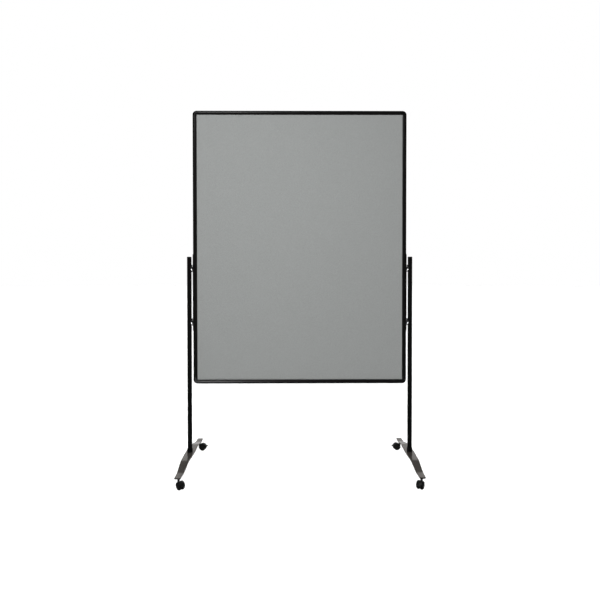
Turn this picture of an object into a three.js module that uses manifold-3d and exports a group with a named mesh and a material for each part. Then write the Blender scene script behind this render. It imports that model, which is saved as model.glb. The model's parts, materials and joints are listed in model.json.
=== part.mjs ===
// A mobile pinboard wall: a felt-covered board in a slim black frame, hooked by keyhole plates onto
// two posts that stand on arched feet with twin-wheel castors. Millimetres, +Z up. The origin is on
// the floor, midway between the posts. X runs along the board and the front faces -Y.
import * as THREE from 'three';
import { mergeVertices } from 'three/addons/utils/BufferGeometryUtils.js';
import Module from 'manifold-3d';

const wasm = await Module();
wasm.setup();

// ---------------------------------------------------------------- sizes

const GAP = 0.3; // left between pieces that rest on each other
const ROUND = 28; // segments in a visible full circle
const SMALL_ROUND = 14; // segments in a small or hidden full circle
const FIT_ROUND = 24; // segments where a shaft turns in a hole
const RUNNING_FIT = 0.03; // clearance between a shaft's corners and the flats of its hole
const boreFor = (shaft) => shaft / Math.cos(Math.PI / FIT_ROUND) + RUNNING_FIT;

// Board
const BOARD_WIDTH = 1190;
const BOARD_HEIGHT = 1520;
const BOARD_TOP = 1994;
const BOARD_MIDDLE = BOARD_TOP - BOARD_HEIGHT / 2;
const BOARD_HALF_WIDTH = BOARD_WIDTH / 2;
const BOARD_HALF_HEIGHT = BOARD_HEIGHT / 2;

// Frame profile: "out" is measured from the frame's inner edge towards its outer edge
const FRAME_FACE = 22;
const FRAME_HALF_DEPTH = 12;
const NOSE_RISE = 4; // how far the rounded front and back stand above the profile's flat side
const NOSE_STEPS = 8; // straight steps that draw each nose
const PANEL_GROOVE_DEPTH = 7;
const CHAMBER_START = 8.5;
const CHAMBER_END = 14;
const CHANNEL_FLOOR = 15.5; // the channel runs from here out to the frame's outer edge
const CHANNEL_HALF_WIDTH = 6.5;
const CORNER_LEG = 36; // length of a corner piece along each rail
const CORNER_INNER_RADIUS = 0.5;
const CORNER_RADIUS = CORNER_INNER_RADIUS + FRAME_FACE;
const TONGUE_LENGTH = 25;

// Panel inside the frame
const CORE_HALF_THICKNESS = 3.8;
const GLUE_LINE = 0.2;
const FELT_THICKNESS = 2; // where the frame's groove presses it
const FELT_CROWN = 0.5; // how much thicker it is in the open field
const FELT_EDGE_SURFACE = CORE_HALF_THICKNESS + GLUE_LINE + FELT_THICKNESS;
const PANEL_GROOVE_HALF = FELT_EDGE_SURFACE + GAP;
const PANEL_WIDTH = BOARD_WIDTH - 2 * (FRAME_FACE - PANEL_GROOVE_DEPTH + 1);
const PANEL_HEIGHT = BOARD_HEIGHT - 2 * (FRAME_FACE - PANEL_GROOVE_DEPTH + 1);

// Posts
const POST_RADIUS = 12.5;
const POST_WALL = 2;
const BOARD_TO_POST = 10.5; // clear space between the board's side and a post
const POST_X = BOARD_HALF_WIDTH + BOARD_TO_POST + POST_RADIUS;
const POST_TOP = 1184;
const CAP_HEIGHT = 4;
const CAP_PLUG = 18; // length of a cap inside the tube
const SOCKET_HEIGHT = 22;
const SOCKET_RADIUS = 15.2;
const SOCKET_BASE_RADIUS = 16.2;
const SPIGOT_HEIGHT = 40;
const BOLT_RADIUS = 4;
const BOLT_HOLE_RADIUS = BOLT_RADIUS + GAP;
const BOLT_HEAD_RADIUS = 8;
const BOLT_HEAD_HEIGHT = 4.5;
const BOLT_REACH = 30; // from the foot's top into the socket

// Hooks: studs on the posts, keyhole plates on the board's sides
const STUD_PITCH = 300;
const LOWER_STUD_Z = 819;
const STUD_HEIGHTS = { lower: LOWER_STUD_Z, upper: LOWER_STUD_Z + STUD_PITCH };
const STUD_NECK_RADIUS = 3.4;
const STUD_HEAD_RADIUS = 5.75;
const STUD_HEAD_THICKNESS = 3;
const STUD_HEAD_SINK = 3.7; // how far the head reaches in past the board's side
const STUD_SHOULDER_RADIUS = 8;
const STUD_SHANK_RADIUS = 3;
const STUD_SHANK_REACH = 7; // length of the shank inside the post
const STUD_HOLE_RADIUS = STUD_SHANK_RADIUS + GAP;
const LIFT = 22; // the board rises this far before the stud heads come free
const PLATE_THICKNESS = 2.4;
const PLATE_HALF_WIDTH = 8;
const PLATE_BOTTOM = 769;
const PLATE_TOP = 1199;
const PLATE_SCREW_RADIUS = 2;
const PLATE_SCREW_HOLE = PLATE_SCREW_RADIUS + 0.2;
const PLATE_SCREW_REACH = 11; // from the board's side to the screw's point
const PLATE_SCREW_HEAD = { radius: 3.6, crownRadius: 2.4, height: 1.4 };
const PLATE_FACE_X = BOARD_HALF_WIDTH + 0.2 + PLATE_THICKNESS;
const DOME_RADIUS = 21;
const DOME_HEIGHT = 13;
const DOME_FACE_X = BOARD_HALF_WIDTH + 5;

// Feet
const FOOT_LENGTH = 620;
const FOOT_THICKNESS = 6;
const FOOT_TIP_HALF_WIDTH = 16;
const FOOT_TAPER = 0.0365; // narrowing of each edge per millimetre of length
const FOOT_WAIST = 60; // the two edges round over into each other within this distance of the post
const FOOT_EDGE_RADIUS = 2.2;
const FOOT_TIP_RADIUS = 5;
const FOOT_BEND_RADIUS = 90;
const FOOT_TIP_BOTTOM = 57;
const FOOT_RISE = 23.5;
const FOOT_MIDDLE_TOP = FOOT_TIP_BOTTOM + FOOT_RISE + FOOT_THICKNESS;
const FOOT_MIDDLE_FLAT = 136; // the raised flat reaches this far from the post
const FOOT_TIP_FLAT = 238; // the low flats at the tips start here
const TUBE_BOTTOM = FOOT_MIDDLE_TOP + 5;
const CASTOR_Y = 280;

// Castors: each is drawn with its swivel axis on its own Z axis and its wheels trailing along +X
const WHEEL_RADIUS = 20;
const WHEEL_WIDTH = 12.5;
const WHEEL_PLAY = 0.5; // between a wheel and the rib
const AXLE_RADIUS = 2;
const AXLE_DEPTH = 9; // how far the axle enters a wheel
const TRAIL = 20;
const RIB_HALF = 4.5; // half the thickness of the web between the two wheels
const SHOULDER_STEPS = 3; // straight steps that draw a rounded shoulder
const WHEEL_SHOULDER = { across: 8, deep: 8 }; // half axes of the wheel's rounded outer corner
const HOOD_SHOULDER = { across: 9, deep: 8.5 };
const HOOD_HALF_WIDTH = 18;
const HOOD_RADIUS = 23;
const FENDER_EDGE_Z = 15.5; // height of the fenders' lower edge below the stem
const FENDER_EDGE_SLOPE = 0.12;
const WEB_EDGE_Z = 10;
const WHEEL_SPACE = 0.7; // clear space around each wheel inside the hood
const PINTLE_RADIUS = 3;
const PINTLE_BOTTOM = 22;
const NECK_RADIUS = 6;
const COLLAR_RADIUS = 6.6;
const COLLAR_BOTTOM = FOOT_TIP_BOTTOM - 2.6;
const THREAD_RADIUS = 3.9;
const THREAD_LENGTH = 4.2;
const BEAD_RADIUS = 3.8;
const BEAD_HALF_LENGTH = 10;
const BARREL_RADIUS = 2;
const BARREL_HALF_LENGTH = 8;
const PEDAL_ANGLE = THREE.MathUtils.degToRad(14);
const PEDAL_PIVOT_RADIUS = HOOD_RADIUS + 2.6;
const PEDAL_PIVOT_X = TRAIL + PEDAL_PIVOT_RADIUS * Math.cos(PEDAL_ANGLE);
const PEDAL_PIVOT_Z = WHEEL_RADIUS + PEDAL_PIVOT_RADIUS * Math.sin(PEDAL_ANGLE);
const CASTORS = [
  { name: 'front_left', side: -1, end: -1, swivel: -48 },
  { name: 'rear_left', side: -1, end: 1, swivel: -6 },
  { name: 'front_right', side: 1, end: -1, swivel: -122 },
  { name: 'rear_right', side: 1, end: 1, swivel: -170 },
];

// ---------------------------------------------------------------- materials

const material = (color, roughness, metalness) =>
  new THREE.MeshStandardMaterial({ color, roughness, metalness });

const blackFrame = () => material(0x1b1a1a, 0.4, 0.5);
const blackPlastic = () => material(0x161616, 0.5, 0);
const castorPlastic = () => material(0x141414, 0.45, 0);
const greyFelt = () => material(0x949695, 0.95, 0);
const boardCore = () => material(0xb59a72, 0.9, 0);
const footMetal = () => material(0x6e6762, 0.32, 0.75);
const polishedSteel = () => material(0xcfd0d0, 0.16, 1);
const blackSteel = () => material(0x202020, 0.42, 0.8);

// ---------------------------------------------------------------- geometry helpers

function toSolid(geometry) {
  const bare = geometry.clone();
  bare.deleteAttribute('normal');
  bare.deleteAttribute('uv');
  const merged = mergeVertices(bare, 1e-4);
  return new wasm.Manifold(new wasm.Mesh({
    numProp: 3,
    vertProperties: new Float32Array(merged.attributes.position.array),
    triVerts: new Uint32Array(merged.index.array),
  }));
}

function toGeometry(solid) {
  const { vertProperties, triVerts } = solid.getMesh();
  const geometry = new THREE.BufferGeometry();
  geometry.setAttribute('position', new THREE.BufferAttribute(vertProperties, 3));
  geometry.setIndex(new THREE.BufferAttribute(triVerts, 1));
  geometry.computeVertexNormals();
  return geometry;
}

function join(...geometries) {
  return geometries.map(toSolid).reduce((whole, piece) => whole.add(piece));
}

function cut(solid, ...geometries) {
  return geometries.map(toSolid).reduce((rest, tool) => rest.subtract(tool), solid);
}

function mesh(name, geometry, itsMaterial) {
  const node = new THREE.Mesh(geometry, itsMaterial);
  node.name = name;
  return node;
}

function box(x0, x1, y0, y1, z0, z1) {
  return new THREE.BoxGeometry(x1 - x0, y1 - y0, z1 - z0)
    .translate((x0 + x1) / 2, (y0 + y1) / 2, (z0 + z1) / 2);
}

// A solid cylinder along Z between two heights
function uprightCylinder(radius, z0, z1, segments = ROUND) {
  return new THREE.CylinderGeometry(radius, radius, z1 - z0, segments)
    .rotateX(Math.PI / 2)
    .translate(0, 0, (z0 + z1) / 2);
}

// A solid cylinder along X
function crossCylinder(radius, x0, x1, segments = SMALL_ROUND) {
  return uprightCylinder(radius, x0, x1, segments).rotateY(Math.PI / 2);
}

// A solid cylinder along Y, from y0 to y1
function axialCylinder(radius, y0, y1, segments = ROUND) {
  return uprightCylinder(radius, -y1, -y0, segments).rotateX(Math.PI / 2);
}

// A turned piece about Z from [radius, height] pairs that run up its outside
function turned(pairs, segments = ROUND) {
  return new THREE.LatheGeometry(pairs.map(([r, z]) => new THREE.Vector2(r, z)), segments)
    .rotateX(Math.PI / 2);
}

// Points of an arc in a profile, both ends included
function arc(centreA, centreB, radiusA, radiusB, fromDegrees, toDegrees, steps) {
  return Array.from({ length: steps + 1 }, (_, i) => {
    const angle = THREE.MathUtils.degToRad(fromDegrees + ((toDegrees - fromDegrees) * i) / steps);
    return [centreA + radiusA * Math.cos(angle), centreB + radiusB * Math.sin(angle)];
  });
}

function shapeFrom(pairs) {
  return new THREE.Shape(pairs.map(([a, b]) => new THREE.Vector2(a, b)));
}

function extruded(shape, length) {
  return new THREE.ExtrudeGeometry(shape, { depth: length, bevelEnabled: false });
}

// A solid through a row of cross-sections, each a ring of points in the same order
function lofted(rings) {
  const count = rings[0].length;
  const positions = rings.flat().flatMap((point) => [point.x, point.y, point.z]);
  const index = [];
  for (let r = 0; r + 1 < rings.length; r += 1) {
    for (let i = 0; i < count; i += 1) {
      const a = r * count + i;
      const b = r * count + ((i + 1) % count);
      index.push(a, b + count, b, a, a + count, b + count);
    }
  }
  const lastStart = (rings.length - 1) * count;
  for (let i = 1; i + 1 < count; i += 1) {
    index.push(0, i, i + 1);
    index.push(lastStart, lastStart + i + 1, lastStart + i);
  }
  const geometry = new THREE.BufferGeometry();
  geometry.setAttribute('position', new THREE.Float32BufferAttribute(positions, 3));
  geometry.setIndex(index);
  return geometry;
}

// ---------------------------------------------------------------- board

// Outline of the frame profile: rounded noses at front and back, flat inside and outside
function profileOutline() {
  const noseBase = FRAME_HALF_DEPTH - NOSE_RISE;
  const half = FRAME_FACE / 2;
  return [
    ...arc(half, noseBase, half, NOSE_RISE, 0, 180, NOSE_STEPS),
    ...arc(half, -noseBase, half, NOSE_RISE, 180, 360, NOSE_STEPS),
  ];
}

// The extrusion adds a groove for the panel, an inner chamber and an outer channel
function railShape() {
  const grooveHalf = PANEL_GROOVE_HALF;
  const outline = [
    ...profileOutline().slice(0, NOSE_STEPS + 1),
    [0, grooveHalf],
    [PANEL_GROOVE_DEPTH, grooveHalf],
    [PANEL_GROOVE_DEPTH, -grooveHalf],
    [0, -grooveHalf],
    ...profileOutline().slice(NOSE_STEPS + 1),
    [FRAME_FACE, -CHANNEL_HALF_WIDTH],
    [CHANNEL_FLOOR, -CHANNEL_HALF_WIDTH],
    [CHANNEL_FLOOR, CHANNEL_HALF_WIDTH],
    [FRAME_FACE, CHANNEL_HALF_WIDTH],
  ];
  const shape = shapeFrom(outline);
  shape.holes.push(new THREE.Path([
    new THREE.Vector2(CHAMBER_START, -CHANNEL_HALF_WIDTH),
    new THREE.Vector2(CHAMBER_START, CHANNEL_HALF_WIDTH),
    new THREE.Vector2(CHAMBER_END, CHANNEL_HALF_WIDTH),
    new THREE.Vector2(CHAMBER_END, -CHANNEL_HALF_WIDTH),
  ]));
  return shape;
}

// Turns a profile extruded along Z, with "out" on X, into a side rail standing on the board's right
function onRightSide(geometry, z0) {
  return geometry.translate(BOARD_HALF_WIDTH - FRAME_FACE, 0, z0);
}

function uprightRail() {
  const length = BOARD_HEIGHT - 2 * CORNER_LEG - 2 * GAP;
  const rail = toSolid(onRightSide(extruded(railShape(), length), BOARD_MIDDLE - length / 2));
  const innerEdge = BOARD_HALF_WIDTH - FRAME_FACE;
  const screwHole = [innerEdge + CHAMBER_END - 1, innerEdge + CHANNEL_FLOOR + 0.5];
  const screwHoles = screwHeights().map((z) =>
    crossCylinder(PLATE_SCREW_HOLE, ...screwHole).translate(0, 0, z));
  return toGeometry(cut(rail, ...screwHoles));
}

function levelRail() {
  const length = BOARD_WIDTH - 2 * CORNER_LEG - 2 * GAP;
  return extruded(railShape(), length)
    .translate(BOARD_HALF_HEIGHT - FRAME_FACE, 0, -length / 2)
    .rotateY(-Math.PI / 2)
    .translate(0, 0, BOARD_MIDDLE);
}

// One rounded corner with a leg along each rail and a tongue into each rail's chamber. Its origin is
// the centre of the bend, the upright leg points down and the level leg points towards -X.
function cornerPiece() {
  const outline = profileOutline().reverse();
  const legLength = CORNER_LEG - CORNER_RADIUS;
  const ring = (along, turn) => outline.map(([out, depth]) => {
    const reach = CORNER_INNER_RADIUS + out;
    return new THREE.Vector3(
      reach * Math.cos(turn) - (turn > 0 ? along : 0),
      depth,
      reach * Math.sin(turn) - (turn > 0 ? 0 : along),
    );
  });
  const bendSteps = 8;
  const bend = Array.from({ length: bendSteps + 1 }, (_, i) =>
    ring(0, (Math.PI / 2) * (i / bendSteps)));
  const body = lofted([ring(legLength, 0), ...bend, ring(legLength, Math.PI / 2)]);
  const tongueStart = CORNER_INNER_RADIUS + CHAMBER_START + GAP;
  const tongueEnd = CORNER_INNER_RADIUS + CHAMBER_END - GAP;
  const tongueHalf = CHANNEL_HALF_WIDTH - GAP;
  const tongueReach = -legLength - TONGUE_LENGTH;
  const whole = join(
    body,
    box(tongueStart, tongueEnd, -tongueHalf, tongueHalf, tongueReach, 1 - legLength),
    box(tongueReach, 1 - legLength, -tongueHalf, tongueHalf, tongueStart, tongueEnd),
  );
  const panelEdge = CORNER_INNER_RADIUS + PANEL_GROOVE_DEPTH;
  const beyond = -legLength - TONGUE_LENGTH - 1;
  const panelSpace = box(
    beyond, panelEdge, -PANEL_GROOVE_HALF, PANEL_GROOVE_HALF, beyond, panelEdge,
  );
  return toGeometry(cut(whole, panelSpace));
}

function cornerNode(name, quarterTurns, signX, signZ) {
  const node = mesh(name, cornerPiece(), blackPlastic());
  node.rotation.y = (quarterTurns * Math.PI) / 2;
  node.position.x = signX * (BOARD_HALF_WIDTH - CORNER_RADIUS);
  node.position.z = BOARD_MIDDLE + signZ * (BOARD_HALF_HEIGHT - CORNER_RADIUS);
  return node;
}

function panelSheet(width, height, y0, y1) {
  return box(
    -width / 2, width / 2, y0, y1, BOARD_MIDDLE - height / 2, BOARD_MIDDLE + height / 2,
  );
}

function coreSheet() {
  return panelSheet(PANEL_WIDTH, PANEL_HEIGHT, -CORE_HALF_THICKNESS, CORE_HALF_THICKNESS);
}

// The front felt: pressed thin in the frame's groove, and springing back in the open field
function feltSheet() {
  const glued = -CORE_HALF_THICKNESS - GLUE_LINE;
  const fieldMargin = 2 * (FRAME_FACE + GAP);
  return toGeometry(join(
    panelSheet(PANEL_WIDTH, PANEL_HEIGHT, -FELT_EDGE_SURFACE, glued),
    panelSheet(
      BOARD_WIDTH - fieldMargin, BOARD_HEIGHT - fieldMargin,
      -FELT_EDGE_SURFACE - FELT_CROWN, glued,
    ),
  ));
}

function screwHeights() {
  const fromEnd = 15;
  return [PLATE_BOTTOM + fromEnd, PLATE_TOP - fromEnd];
}

// A long keyhole plate: narrow slots hang on the stud necks, wide holes below let the heads through
function hangerPlate() {
  const innerX = PLATE_FACE_X - PLATE_THICKNESS;
  const slotHalf = STUD_NECK_RADIUS + 0.1;
  const headHole = STUD_HEAD_RADIUS + 0.45;
  const plate = new THREE.Shape();
  const height = PLATE_TOP - PLATE_BOTTOM;
  plate.moveTo(-PLATE_HALF_WIDTH, PLATE_HALF_WIDTH);
  plate.absarc(0, PLATE_HALF_WIDTH, PLATE_HALF_WIDTH, Math.PI, 2 * Math.PI, false);
  plate.absarc(0, height - PLATE_HALF_WIDTH, PLATE_HALF_WIDTH, 0, Math.PI, false);
  const blank = new THREE.ExtrudeGeometry(plate, {
    depth: PLATE_THICKNESS, bevelEnabled: false, curveSegments: 8,
  })
    .rotateX(Math.PI / 2)
    .rotateZ(Math.PI / 2)
    .translate(innerX, 0, PLATE_BOTTOM);
  const cutters = Object.values(STUD_HEIGHTS).flatMap((z) => [
    crossCylinder(slotHalf, innerX - 1, PLATE_FACE_X + 1).translate(0, 0, z),
    box(innerX - 1, PLATE_FACE_X + 1, -slotHalf, slotHalf, z - LIFT, z),
    crossCylinder(headHole, innerX - 1, PLATE_FACE_X + 1, ROUND).translate(0, 0, z - LIFT),
  ]);
  const screwHoles = screwHeights().map((z) =>
    crossCylinder(PLATE_SCREW_HOLE, innerX - 1, PLATE_FACE_X + 1).translate(0, 0, z));
  return toGeometry(cut(toSolid(blank), ...cutters, ...screwHoles));
}

// Turned about the X axis from [radius, x] pairs
function turnedAlongX(pairs, segments = SMALL_ROUND) {
  return turned(pairs, segments).rotateY(Math.PI / 2);
}

function plateScrew() {
  const pointX = BOARD_HALF_WIDTH - PLATE_SCREW_REACH;
  const headX = PLATE_FACE_X + 0.1;
  const { radius, crownRadius, height } = PLATE_SCREW_HEAD;
  return turnedAlongX([
    [0, pointX],
    [PLATE_SCREW_RADIUS - 0.4, pointX],
    [PLATE_SCREW_RADIUS, pointX + 0.6],
    [PLATE_SCREW_RADIUS, headX],
    [radius, headX],
    [radius, headX + height / 2],
    [crownRadius, headX + height],
    [0, headX + height + 0.1],
  ]);
}

function boardGroup() {
  const board = new THREE.Group();
  board.add(mesh('board_core', coreSheet(), boardCore()));
  board.add(mesh('felt_front', feltSheet(), greyFelt()));
  const back = mesh('felt_back', feltSheet(), greyFelt());
  back.rotation.z = Math.PI;
  board.add(back);
  board.add(mesh('rail_right', uprightRail(), blackFrame()));
  const left = mesh('rail_left', uprightRail(), blackFrame());
  left.rotation.z = Math.PI;
  board.add(left);
  board.add(mesh('rail_top', levelRail(), blackFrame()));
  const bottom = mesh('rail_bottom', levelRail(), blackFrame());
  bottom.rotation.y = Math.PI;
  bottom.position.z = 2 * BOARD_MIDDLE;
  board.add(bottom);
  board.add(cornerNode('corner_top_right', 0, 1, 1));
  board.add(cornerNode('corner_bottom_right', 1, 1, -1));
  board.add(cornerNode('corner_bottom_left', 2, -1, -1));
  board.add(cornerNode('corner_top_left', 3, -1, 1));
  return board;
}

function hangerGroup(side) {
  const hanger = new THREE.Group();
  hanger.add(mesh(`hanger_plate_${side}`, hangerPlate(), blackSteel()));
  screwHeights().forEach((z, i) => {
    const place = i === 0 ? 'lower' : 'upper';
    const screw = mesh(`plate_screw_${side}_${place}`, plateScrew(), blackSteel());
    screw.position.z = z;
    hanger.add(screw);
  });
  return hanger;
}

// ---------------------------------------------------------------- stands

// Half the foot's width: straight tapering edges that round over into each other near the post
function footHalfWidth(y) {
  const reach = Math.abs(y);
  const taperedHalf = FOOT_TIP_HALF_WIDTH + FOOT_TAPER * (FOOT_LENGTH / 2 - reach);
  const missing = Math.max(0, FOOT_WAIST - reach);
  return taperedHalf - (FOOT_TAPER * missing ** 2) / (2 * FOOT_WAIST);
}

// Centre line of half a foot as [distance from post, height, slope angle], bends rounded by arcs
function footCentreLine() {
  const lowZ = FOOT_TIP_BOTTOM + FOOT_THICKNESS / 2;
  const highZ = lowZ + FOOT_RISE;
  const slope = Math.atan2(FOOT_RISE, FOOT_TIP_FLAT - FOOT_MIDDLE_FLAT);
  const bendReach = FOOT_BEND_RADIUS * Math.tan(slope / 2);
  const stations = [0, FOOT_WAIST / 2, FOOT_WAIST].map((y) => [y, highZ, 0]);
  const bendSteps = 3;
  for (let i = 0; i <= bendSteps; i += 1) {
    const angle = (slope * i) / bendSteps;
    stations.push([
      FOOT_MIDDLE_FLAT - bendReach + FOOT_BEND_RADIUS * Math.sin(angle),
      highZ - FOOT_BEND_RADIUS * (1 - Math.cos(angle)),
      angle,
    ]);
  }
  for (let i = bendSteps; i >= 0; i -= 1) {
    const angle = (slope * i) / bendSteps;
    stations.push([
      FOOT_TIP_FLAT + bendReach - FOOT_BEND_RADIUS * Math.sin(angle),
      lowZ + FOOT_BEND_RADIUS * (1 - Math.cos(angle)),
      angle,
    ]);
  }
  stations.push([(FOOT_TIP_FLAT + FOOT_LENGTH / 2) / 2, lowZ, 0]);
  return stations;
}

// Rounded rectangle, as [across, up] points from the foot's centre line
function footSection(halfWidth, halfThickness) {
  const radius = Math.min(FOOT_EDGE_RADIUS, halfThickness * 0.8);
  const a = halfWidth - radius;
  const b = halfThickness - radius;
  return [
    ...arc(a, b, radius, radius, 0, 90, 2),
    ...arc(-a, b, radius, radius, 90, 180, 2),
    ...arc(-a, -b, radius, radius, 180, 270, 2),
    ...arc(a, -b, radius, radius, 270, 360, 2),
  ];
}

function footRing(y, z, angle, halfWidth, halfThickness = FOOT_THICKNESS / 2) {
  return footSection(halfWidth, halfThickness).map(([across, up]) =>
    new THREE.Vector3(across, y + up * Math.sin(angle), z + up * Math.cos(angle)));
}

function footBar() {
  const half = footCentreLine();
  const rings = half.map(([y, z, angle]) => footRing(y, z, angle, footHalfWidth(y)));
  const tipZ = FOOT_TIP_BOTTOM + FOOT_THICKNESS / 2;
  [0, 30, 55, 75].forEach((degrees) => {
    const turn = THREE.MathUtils.degToRad(degrees);
    const y = FOOT_LENGTH / 2 - FOOT_TIP_RADIUS + FOOT_TIP_RADIUS * Math.sin(turn);
    rings.push(footRing(y, tipZ, 0, footHalfWidth(y) - FOOT_TIP_RADIUS * (1 - Math.cos(turn))));
  });
  const endHalfThickness = FOOT_THICKNESS / 2 - 0.8;
  const endHalfWidth = FOOT_TIP_HALF_WIDTH - FOOT_TIP_RADIUS;
  rings.push(footRing(FOOT_LENGTH / 2, tipZ, 0, endHalfWidth, endHalfThickness));
  const mirrored = rings.slice(1).reverse().map((ring) =>
    ring.map((point) => new THREE.Vector3(point.x, -point.y, point.z)));
  return lofted([...mirrored, ...rings]);
}

function foot() {
  const boltHole = uprightCylinder(BOLT_HOLE_RADIUS, 0, FOOT_MIDDLE_TOP + 5, SMALL_ROUND);
  const stemHoles = [-1, 1].map((end) =>
    uprightCylinder(THREAD_RADIUS + 0.2, 0, FOOT_TIP_BOTTOM + THREAD_LENGTH + GAP, FIT_ROUND)
      .translate(0, end * CASTOR_Y, 0));
  return toGeometry(cut(toSolid(footBar()), boltHole, ...stemHoles));
}

// Collar with a slightly wider base, and a spigot that fills the foot of the tube
function postSocket() {
  const base = FOOT_MIDDLE_TOP + GAP;
  const rim = base + SOCKET_HEIGHT;
  const spigotRadius = POST_RADIUS - POST_WALL - GAP;
  const lip = 1.6; // height of the wider base
  return turned([
    [BOLT_HOLE_RADIUS, base],
    [SOCKET_BASE_RADIUS, base],
    [SOCKET_BASE_RADIUS, base + lip],
    [SOCKET_RADIUS, base + 2 * lip],
    [SOCKET_RADIUS, rim - 1],
    [SOCKET_RADIUS - 0.8, rim],
    [POST_RADIUS + GAP, rim],
    [POST_RADIUS + GAP, TUBE_BOTTOM - GAP],
    [spigotRadius, TUBE_BOTTOM - GAP],
    [spigotRadius, base + SPIGOT_HEIGHT],
    [BOLT_HOLE_RADIUS, base + SPIGOT_HEIGHT],
    [BOLT_HOLE_RADIUS, base],
  ]);
}

function post() {
  const top = POST_TOP - CAP_HEIGHT - GAP;
  const tube = toSolid(uprightCylinder(POST_RADIUS, TUBE_BOTTOM, top));
  const bore = uprightCylinder(POST_RADIUS - POST_WALL, TUBE_BOTTOM - 1, top + 1);
  const studHoles = Object.values(STUD_HEIGHTS).map((z) =>
    crossCylinder(STUD_HOLE_RADIUS, -POST_RADIUS - 1, -POST_RADIUS / 2).translate(0, 0, z));
  return toGeometry(cut(tube, bore, ...studHoles));
}

function postCap() {
  const base = POST_TOP - CAP_HEIGHT;
  const plugRadius = POST_RADIUS - POST_WALL - GAP;
  const edge = 2.5;
  return turned([
    [0, base - CAP_PLUG],
    [plugRadius - 0.6, base - CAP_PLUG],
    [plugRadius, base - CAP_PLUG + 2],
    [plugRadius, base],
    [POST_RADIUS, base],
    ...arc(POST_RADIUS - edge, POST_TOP - edge, edge, edge, 0, 90, 3),
    [0, POST_TOP],
  ]);
}

function footBolt() {
  const underside = FOOT_MIDDLE_TOP - FOOT_THICKNESS - GAP;
  const headBottom = underside - BOLT_HEAD_HEIGHT;
  const chamfer = 0.8;
  return turned([
    [0, headBottom],
    [BOLT_HEAD_RADIUS - chamfer, headBottom],
    [BOLT_HEAD_RADIUS, headBottom + chamfer],
    [BOLT_HEAD_RADIUS, underside],
    [BOLT_RADIUS, underside],
    [BOLT_RADIUS, FOOT_MIDDLE_TOP + BOLT_REACH],
    [0, FOOT_MIDDLE_TOP + BOLT_REACH],
  ], SMALL_ROUND);
}

// Mushroom stud, in the stand's own place: its head points away from the post towards the board
function stud() {
  const headX = -POST_X + BOARD_HALF_WIDTH - STUD_HEAD_SINK;
  const shoulderX = -POST_X + PLATE_FACE_X + GAP;
  const faceX = -POST_X + DOME_FACE_X - 0.1;
  const innerEnd = -POST_RADIUS + STUD_SHANK_REACH;
  const chamfer = 0.8;
  return turnedAlongX([
    [0, headX],
    [STUD_HEAD_RADIUS - chamfer, headX],
    [STUD_HEAD_RADIUS, headX + chamfer],
    [STUD_HEAD_RADIUS, headX + STUD_HEAD_THICKNESS],
    [STUD_NECK_RADIUS, headX + STUD_HEAD_THICKNESS],
    [STUD_NECK_RADIUS, shoulderX],
    [STUD_SHOULDER_RADIUS, shoulderX],
    [STUD_SHOULDER_RADIUS, faceX],
    [STUD_SHANK_RADIUS, faceX],
    [STUD_SHANK_RADIUS, innerEnd],
    [0, innerEnd],
  ]);
}

// Polished domed washer, hollowed on its far side to sit around the post
function studDome() {
  const faceX = -POST_X + DOME_FACE_X;
  const sphere = (DOME_RADIUS ** 2 + DOME_HEIGHT ** 2) / (2 * DOME_HEIGHT);
  const rimAngle = THREE.MathUtils.radToDeg(Math.asin(DOME_RADIUS / sphere));
  const rim = 1.2;
  const domePairs = arc(0, faceX + rim + DOME_HEIGHT - sphere, sphere, sphere, 90 - rimAngle, 90, 6);
  const dome = turnedAlongX([
    [0, faceX],
    [DOME_RADIUS - 0.6, faceX],
    [DOME_RADIUS, faceX + 0.5],
    ...domePairs.slice(0, -1),
    [0, faceX + rim + DOME_HEIGHT],
  ], ROUND);
  return toGeometry(cut(
    toSolid(dome),
    uprightCylinder(POST_RADIUS + GAP, -DOME_RADIUS - 5, DOME_RADIUS + 5),
    crossCylinder(STUD_HOLE_RADIUS, faceX - 1, 1),
  ));
}

function standGroup(side) {
  const stand = new THREE.Group();
  stand.add(mesh(`post_${side}`, post(), blackFrame()));
  stand.add(mesh(`post_cap_${side}`, postCap(), blackPlastic()));
  stand.add(mesh(`post_socket_${side}`, postSocket(), blackPlastic()));
  stand.add(mesh(`foot_${side}`, foot(), footMetal()));
  stand.add(mesh(`foot_bolt_${side}`, footBolt(), blackSteel()));
  Object.entries(STUD_HEIGHTS).forEach(([place, z]) => {
    const pin = mesh(`stud_${side}_${place}`, stud(), blackSteel());
    const dome = mesh(`stud_dome_${side}_${place}`, studDome(), polishedSteel());
    pin.position.z = z;
    dome.position.z = z;
    stand.add(pin, dome);
  });
  return stand;
}

// ---------------------------------------------------------------- castors

// Threaded into the foot at the top, a plain pintle for the hood below its collar
function castorStem() {
  return turned([
    [0, PINTLE_BOTTOM],
    [PINTLE_RADIUS - 0.4, PINTLE_BOTTOM],
    [PINTLE_RADIUS, PINTLE_BOTTOM + 0.5],
    [PINTLE_RADIUS, COLLAR_BOTTOM],
    [COLLAR_RADIUS, COLLAR_BOTTOM],
    [COLLAR_RADIUS, FOOT_TIP_BOTTOM - 0.2],
    [THREAD_RADIUS, FOOT_TIP_BOTTOM - 0.2],
    [THREAD_RADIUS, FOOT_TIP_BOTTOM + THREAD_LENGTH],
    [0, FOOT_TIP_BOTTOM + THREAD_LENGTH],
  ], FIT_ROUND);
}

// Moves a piece drawn about the Z axis onto the wheel axle, its own +Z pointing to +Y or -Y
function onAxle(geometry, sign = 1) {
  return geometry.rotateX(-sign * (Math.PI / 2)).translate(TRAIL, 0, WHEEL_RADIUS);
}

// The rounded corner of a turned wheel or hood whose flat end face is at the given height
function shoulderPairs(radius, endHeight, { across, deep }) {
  return arc(radius - deep, endHeight - across, deep, across, 0, 90, SHOULDER_STEPS);
}

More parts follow.
